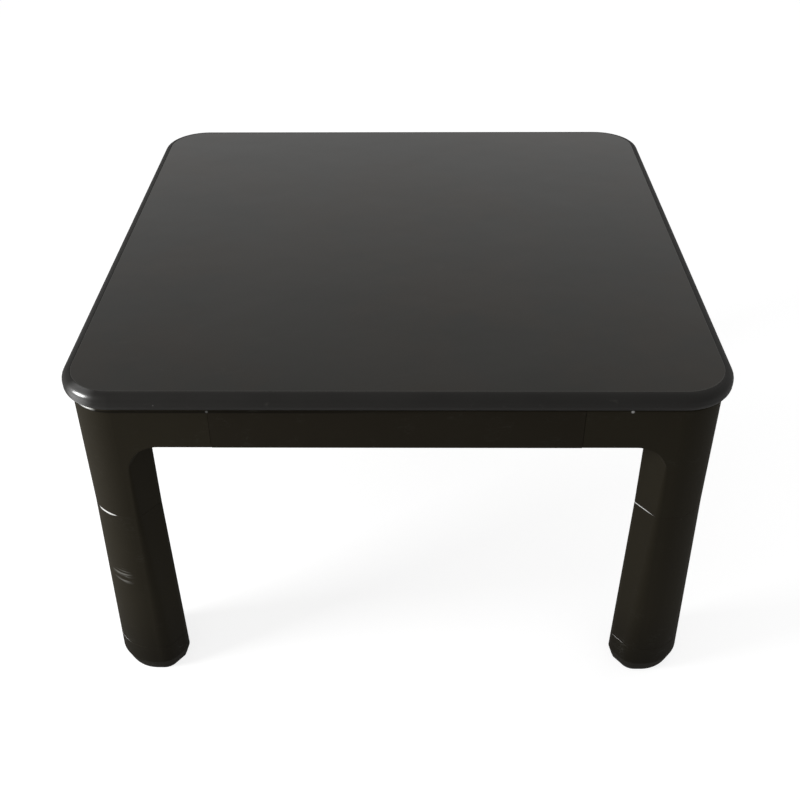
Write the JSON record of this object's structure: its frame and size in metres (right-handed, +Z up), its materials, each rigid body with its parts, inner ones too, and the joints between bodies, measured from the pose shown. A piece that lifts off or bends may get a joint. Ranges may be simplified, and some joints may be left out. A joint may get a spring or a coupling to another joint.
{
  "type": "kotatsu table",
  "caption": "Low square heated table: lift-off laminated top with a soft edge, moulded frame and plug-in legs, and a tube heater under the middle.",
  "frame": {"origin": "on the floor, under the middle of the table", "axes": "+Z up; the front rail faces -Y and the heater's cord inlet faces +Y"},
  "size_m": [0.6, 0.6, 0.36],
  "materials": {
    "frame_plastic": "moulded, fine satin texture",
    "laminate": "dark matt laminate with a soft sheen",
    "underside": "plain dark backing laminate",
    "edge": "satin soft-edge moulding",
    "board": "raw particle board",
    "bar": "dark stained softwood",
    "leg_plastic": "moulded, fine satin texture",
    "rubber": "matt black rubber",
    "steel": "zinc plated",
    "heater_steel": "black heat-resistant paint",
    "reflector": "bright rolled",
    "quartz": "clouded quartz",
    "coil": "oxidised resistance wire",
    "ceramic": "unglazed steatite",
    "guard": "flock coated",
    "inlet": "heat-resistant moulding",
    "brass": "nickel-free contact brass",
    "lead": "glass-sleeved lead"
  },
  "bodies": {
    "frame": {"corner_front_left": "frame_plastic", "corner_front_right": "frame_plastic", "corner_rear_left": "frame_plastic", "corner_rear_right": "frame_plastic", "rail_front": "frame_plastic", "rail_rear": "frame_plastic", "rail_left": "frame_plastic", "rail_right": "frame_plastic", "rail_screws": "steel", "bumpers": "rubber", "leg_bolts": "steel", "nut_plates": "steel", "crossbar_left": "bar", "crossbar_right": "bar", "batten_front": "bar", "batten_rear": "bar", "crossbar_screws": "steel", "batten_screws": "steel", "heater_case": "heater_steel", "heater_reflector": "reflector", "heater_tube": "quartz", "heater_coil": "coil", "tube_holders": "ceramic", "tube_bracket": "steel", "tube_clip": "steel", "heater_guard": "guard", "guard_screws": "steel", "heater_screws": "steel", "cord_inlet": "inlet", "inlet_pins": "brass", "terminal_block": "ceramic", "thermostat": "steel", "thermal_fuse": "steel", "heater_leads": "lead"},
    "tabletop": {"tabletop_edge": "edge", "tabletop_core": "board", "tabletop_laminate": "laminate", "tabletop_underside": "underside"},
    "leg_front_left": {"leg_front_left": "leg_plastic"},
    "foot_front_left": {"foot_front_left": "leg_plastic", "glide_front_left": "rubber"},
    "leg_front_right": {"leg_front_right": "leg_plastic"},
    "foot_front_right": {"foot_front_right": "leg_plastic", "glide_front_right": "rubber"},
    "leg_rear_left": {"leg_rear_left": "leg_plastic"},
    "foot_rear_left": {"foot_rear_left": "leg_plastic", "glide_rear_left": "rubber"},
    "leg_rear_right": {"leg_rear_right": "leg_plastic"},
    "foot_rear_right": {"foot_rear_right": "leg_plastic", "glide_rear_right": "rubber"}
  },
  "joints": [
    {"name": "tabletop_lift", "type": "slide", "parent": "frame", "child": "tabletop", "axis": [0, 0, 1], "range_m": [0, 0.25]},
    {"name": "leg_front_left_pull", "type": "slide", "parent": "frame", "child": "leg_front_left", "axis": [0, 0, -1], "range_m": [0, 0.035]},
    {"name": "foot_front_left_pull", "type": "slide", "parent": "leg_front_left", "child": "foot_front_left", "axis": [0, 0, -1], "range_m": [0, 0.028]},
    {"name": "leg_front_right_pull", "type": "slide", "parent": "frame", "child": "leg_front_right", "axis": [0, 0, -1], "range_m": [0, 0.035]},
    {"name": "foot_front_right_pull", "type": "slide", "parent": "leg_front_right", "child": "foot_front_right", "axis": [0, 0, -1], "range_m": [0, 0.028]},
    {"name": "leg_rear_left_pull", "type": "slide", "parent": "frame", "child": "leg_rear_left", "axis": [0, 0, -1], "range_m": [0, 0.035]},
    {"name": "foot_rear_left_pull", "type": "slide", "parent": "leg_rear_left", "child": "foot_rear_left", "axis": [0, 0, -1], "range_m": [0, 0.028]},
    {"name": "leg_rear_right_pull", "type": "slide", "parent": "frame", "child": "leg_rear_right", "axis": [0, 0, -1], "range_m": [0, 0.035]},
    {"name": "foot_rear_right_pull", "type": "slide", "parent": "leg_rear_right", "child": "foot_rear_right", "axis": [0, 0, -1], "range_m": [0, 0.028]}
  ]
}
